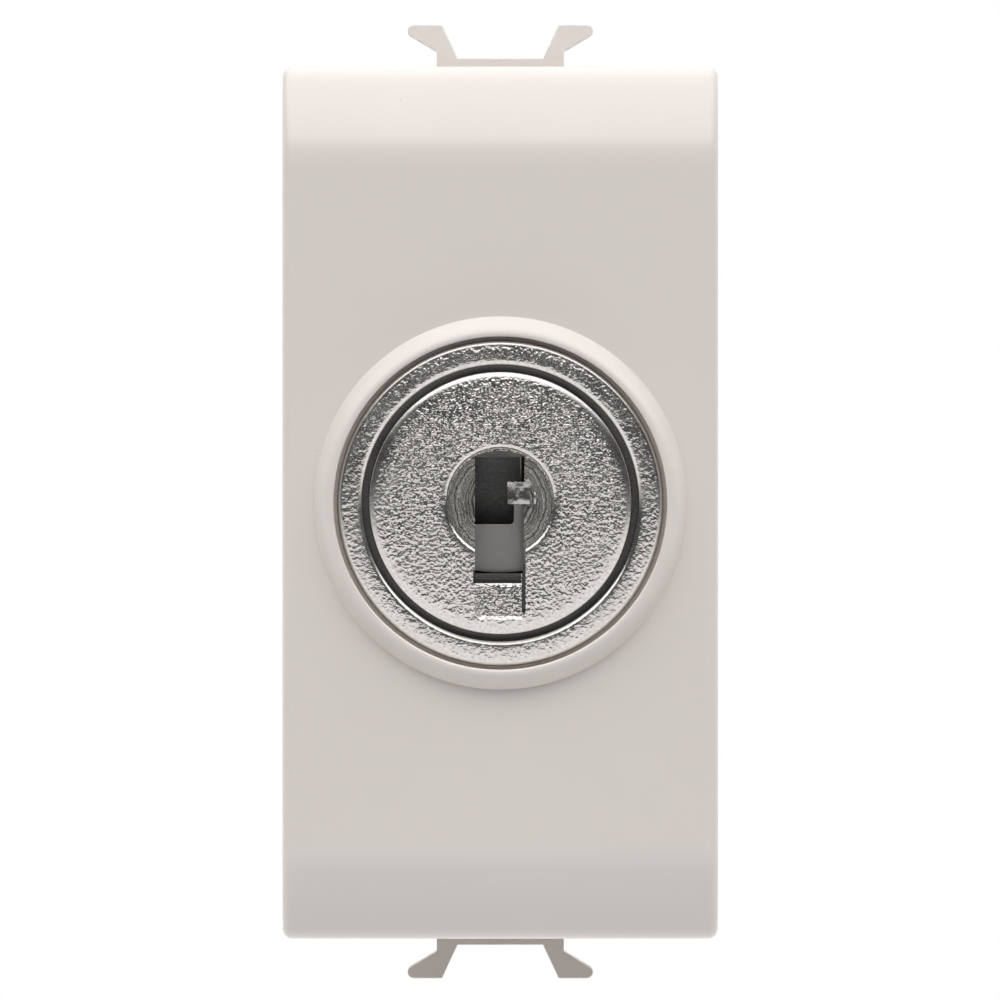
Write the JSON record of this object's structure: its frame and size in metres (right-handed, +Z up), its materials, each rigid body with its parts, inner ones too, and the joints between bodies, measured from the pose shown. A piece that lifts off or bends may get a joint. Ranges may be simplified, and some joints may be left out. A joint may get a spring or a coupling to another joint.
{
  "type": "selector key switch",
  "caption": "Selector key switch insert: white cover with a round collar around a die-cast key lock, snap ears above and below, and a rear housing with contacts and screw terminals.",
  "frame": {"origin": "on the lock's axis, in the plane where the flange's rear face rests on the support frame", "axes": "the front faces -Y, +Y runs into the wall along the lock's axis, +Z is up, +X is right seen from the front"},
  "size_m": [0.0224, 0.0389, 0.0496],
  "materials": {
    "white_plastic": "warm white moulded plastic, satin",
    "grey_plastic": "grey insulating plastic, matt",
    "dark_plastic": "black plastic, matt",
    "natural_plastic": "natural white plastic, satin",
    "cast_zinc": "nickel-plated zinc die casting, grainy",
    "wafer_metal": "stamped nickel-plated metal, dull",
    "plated_steel": "zinc-plated steel",
    "spring_steel": "bare spring steel",
    "brass": "plain stamped brass"
  },
  "bodies": {
    "base": {"front_cover": "white_plastic", "mounting_frame": "white_plastic", "rear_housing": "grey_plastic", "lock_body": "cast_zinc", "lock_nut": "plated_steel", "detent_spring": "spring_steel", "contact_carrier": "grey_plastic", "carrier_screw_left": "plated_steel", "carrier_screw_right": "plated_steel", "terminal_upper_left": "brass", "terminal_upper_right": "brass", "terminal_lower_left": "brass", "terminal_lower_right": "brass"},
    "rotor": {"lock_rotor": "cast_zinc", "rotor_clip": "spring_steel", "drive_cam": "dark_plastic", "cam_screw": "plated_steel", "wafer_spring_1": "spring_steel", "wafer_spring_2": "spring_steel", "wafer_spring_3": "spring_steel", "wafer_spring_4": "spring_steel", "wafer_spring_5": "spring_steel"},
    "slider": {"contact_slider": "natural_plastic", "upper_bridge": "brass", "lower_bridge": "brass", "upper_bridge_spring": "spring_steel", "lower_bridge_spring": "spring_steel"},
    "locking_wafer_1": {"wafer_1": "wafer_metal"},
    "locking_wafer_2": {"wafer_2": "wafer_metal"},
    "locking_wafer_3": {"wafer_3": "wafer_metal"},
    "locking_wafer_4": {"wafer_4": "wafer_metal"},
    "locking_wafer_5": {"wafer_5": "wafer_metal"},
    "clamp_upper_left": {"terminal_screw_upper_left": "plated_steel", "clamp_plate_upper_left": "plated_steel"},
    "clamp_upper_right": {"terminal_screw_upper_right": "plated_steel", "clamp_plate_upper_right": "plated_steel"},
    "clamp_lower_left": {"terminal_screw_lower_left": "plated_steel", "clamp_plate_lower_left": "plated_steel"},
    "clamp_lower_right": {"terminal_screw_lower_right": "plated_steel", "clamp_plate_lower_right": "plated_steel"}
  },
  "joints": [
    {"name": "key_turn", "type": "hinge", "parent": "base", "child": "rotor", "pos_m": [0, 0, 0], "axis": [0, 1, 0], "range_deg": [0, 90], "deforming": ["detent_spring"]},
    {"name": "contact_travel", "type": "slide", "parent": "base", "child": "slider", "axis": [0, 0, -1], "range_m": [0, 0.0029]},
    {"name": "wafer_1_lift", "type": "slide", "parent": "rotor", "child": "locking_wafer_1", "axis": [0, 0, 1], "range_m": [0, 0.0006], "stiffness_N_per_m": 150, "deforming": ["wafer_spring_1"]},
    {"name": "wafer_2_lift", "type": "slide", "parent": "rotor", "child": "locking_wafer_2", "axis": [0, 0, 1], "range_m": [0, 0.0006], "stiffness_N_per_m": 150, "deforming": ["wafer_spring_2"]},
    {"name": "wafer_3_lift", "type": "slide", "parent": "rotor", "child": "locking_wafer_3", "axis": [0, 0, 1], "range_m": [0, 0.0006], "stiffness_N_per_m": 150, "deforming": ["wafer_spring_3"]},
    {"name": "wafer_4_lift", "type": "slide", "parent": "rotor", "child": "locking_wafer_4", "axis": [0, 0, 1], "range_m": [0, 0.0006], "stiffness_N_per_m": 150, "deforming": ["wafer_spring_4"]},
    {"name": "wafer_5_lift", "type": "slide", "parent": "rotor", "child": "locking_wafer_5", "axis": [0, 0, 1], "range_m": [0, 0.0006], "stiffness_N_per_m": 150, "deforming": ["wafer_spring_5"]},
    {"name": "clamp_upper_left_close", "type": "slide", "parent": "base", "child": "clamp_upper_left", "axis": [0, -1, 0], "range_m": [0, 0.0034]},
    {"name": "clamp_upper_right_close", "type": "slide", "parent": "base", "child": "clamp_upper_right", "axis": [0, -1, 0], "range_m": [0, 0.0034]},
    {"name": "clamp_lower_left_close", "type": "slide", "parent": "base", "child": "clamp_lower_left", "axis": [0, -1, 0], "range_m": [0, 0.0034]},
    {"name": "clamp_lower_right_close", "type": "slide", "parent": "base", "child": "clamp_lower_right", "axis": [0, -1, 0], "range_m": [0, 0.0034]}
  ],
  "couplings": [
    {"joint": "key_turn", "follows": "contact_travel", "rad_per_m": 541.6}
  ]
}
